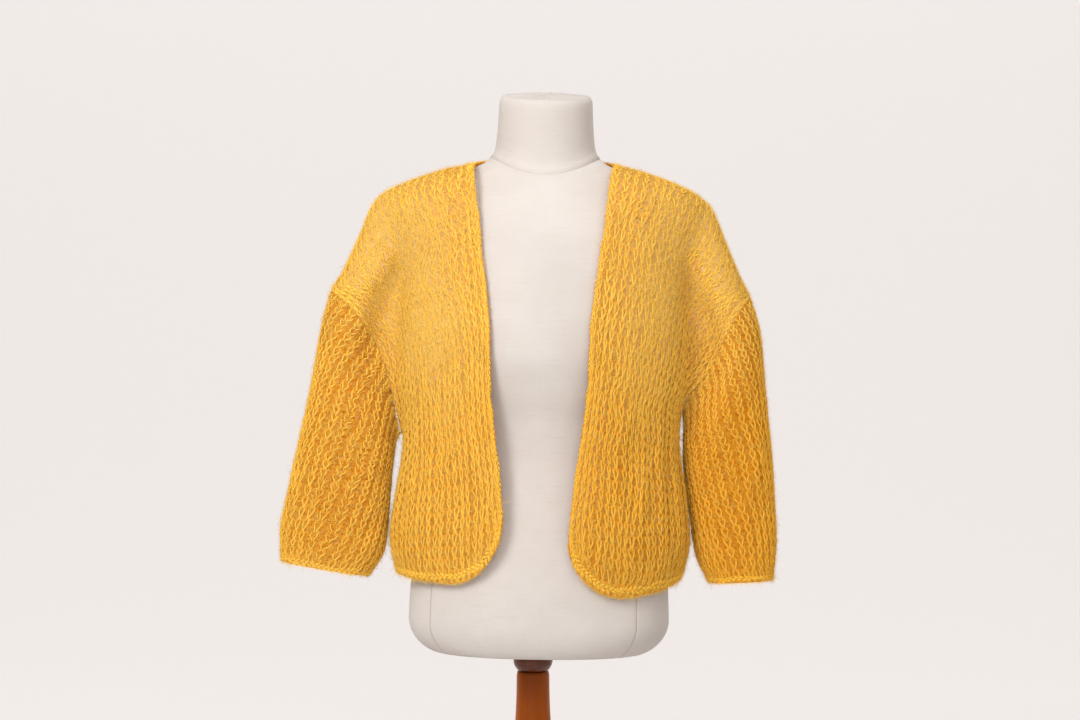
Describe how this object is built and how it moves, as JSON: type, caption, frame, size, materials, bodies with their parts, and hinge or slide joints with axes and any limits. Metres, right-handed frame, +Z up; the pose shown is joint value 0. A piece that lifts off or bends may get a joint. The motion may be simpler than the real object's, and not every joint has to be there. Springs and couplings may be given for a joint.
{
  "type": "open-front mohair cardigan on a limbless dress form",
  "caption": "Loose cropped open-front cardigan in large-gauge mohair knit, worn on a limbless dress form that stands on a turned wooden column with a round base.",
  "frame": {"origin": "on the floor, at the middle of the round base's underside, on the column's axis", "axes": "+Z up along the column; -Y is the open front of the cardigan; +X is the wearer's left"},
  "size_m": [0.6453, 0.4, 1.5109],
  "materials": {
    "mohair_knit": "large open stocking stitch in fluffy yellow mohair, with a halo of fine hairs",
    "linen_cover": "fine cream linen, stretched over the form",
    "amber_wood": "turned, stained amber brown, satin varnish",
    "dark_wood": "turned, dark brown, gloss varnish"
  },
  "bodies": {
    "root": {"back": "mohair_knit", "front_right": "mohair_knit", "front_left": "mohair_knit", "sleeve_right": "mohair_knit", "sleeve_left": "mohair_knit", "form_torso": "linen_cover", "form_neck": "linen_cover", "stand_knob": "dark_wood", "stand_column": "amber_wood", "stand_base": "amber_wood"}
  },
  "joints": []
}
